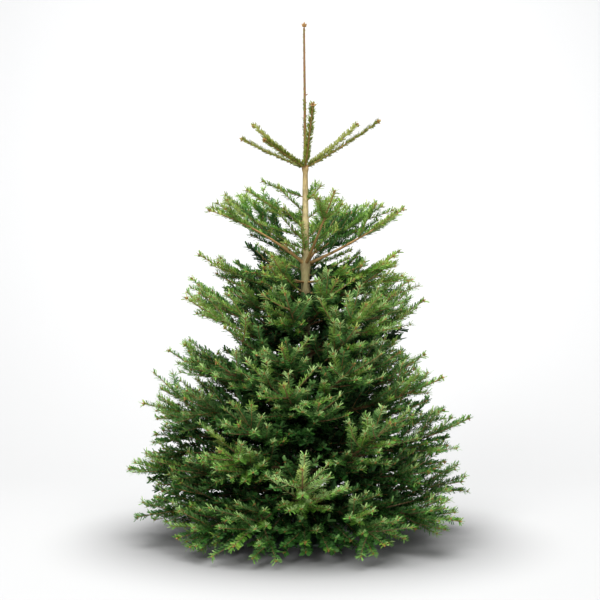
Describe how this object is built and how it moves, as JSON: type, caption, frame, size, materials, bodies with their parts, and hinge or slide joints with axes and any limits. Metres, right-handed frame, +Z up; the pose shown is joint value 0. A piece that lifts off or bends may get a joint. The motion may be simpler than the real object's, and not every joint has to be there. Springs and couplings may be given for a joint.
{
  "type": "christmas tree",
  "caption": "Cut fir tree for Christmas: a tapering trunk with a bare leader, whorls of boughs and dense needled foliage, held upright in a plain round metal stand with clamp screws.",
  "frame": {"origin": "centre of the stand's flat underside, on the floor and under the trunk", "axes": "+Z up along the trunk, +X to the right and +Y away as the picture looks at the tree"},
  "size_m": [1.3079, 1.2368, 2],
  "materials": {
    "trunk_bark": "matt bark, paler towards the top",
    "bough_bark": "matt orange-brown bark",
    "needles": "waxy green needles, paler beneath",
    "stand_paint": "dark green satin paint",
    "screw_steel": "plain steel"
  },
  "bodies": {
    "root": {"trunk": "trunk_bark", "stand_base": "stand_paint", "stand_screw_1": "screw_steel", "stand_screw_2": "screw_steel", "stand_screw_3": "screw_steel", "top_foliage_1": "needles", "top_foliage_2": "needles", "top_foliage_3": "needles", "top_foliage_4": "needles", "top_foliage_5": "needles", "top_foliage_6": "needles", "upper_bough_1": "bough_bark", "upper_foliage_1": "needles", "upper_bough_2": "bough_bark", "upper_foliage_2": "needles", "upper_bough_3": "bough_bark", "upper_foliage_3": "needles", "upper_bough_4": "bough_bark", "upper_foliage_4": "needles", "upper_bough_5": "bough_bark", "upper_foliage_5": "needles", "shoulder_foliage_1": "needles", "shoulder_foliage_2": "needles", "shoulder_foliage_3": "needles", "shoulder_foliage_4": "needles", "shoulder_foliage_5": "needles", "middle_foliage_1": "needles", "middle_foliage_2": "needles", "middle_foliage_3": "needles", "middle_foliage_4": "needles", "middle_foliage_5": "needles", "waist_bough_1": "bough_bark", "waist_foliage_1": "needles", "waist_bough_2": "bough_bark", "waist_foliage_2": "needles", "waist_bough_3": "bough_bark", "waist_foliage_3": "needles", "waist_bough_4": "bough_bark", "waist_foliage_4": "needles", "waist_bough_5": "bough_bark", "waist_foliage_5": "needles", "waist_bough_6": "bough_bark", "waist_foliage_6": "needles", "lower_foliage_1": "needles", "lower_foliage_2": "needles", "lower_foliage_3": "needles", "lower_foliage_4": "needles", "lower_foliage_5": "needles", "lower_foliage_6": "needles", "skirt_foliage_1": "needles", "skirt_foliage_2": "needles", "skirt_foliage_3": "needles", "skirt_foliage_4": "needles", "skirt_foliage_5": "needles", "skirt_foliage_6": "needles", "hem_foliage_1": "needles", "hem_foliage_2": "needles", "hem_foliage_3": "needles", "hem_foliage_4": "needles", "hem_foliage_5": "needles"}
  },
  "joints": []
}
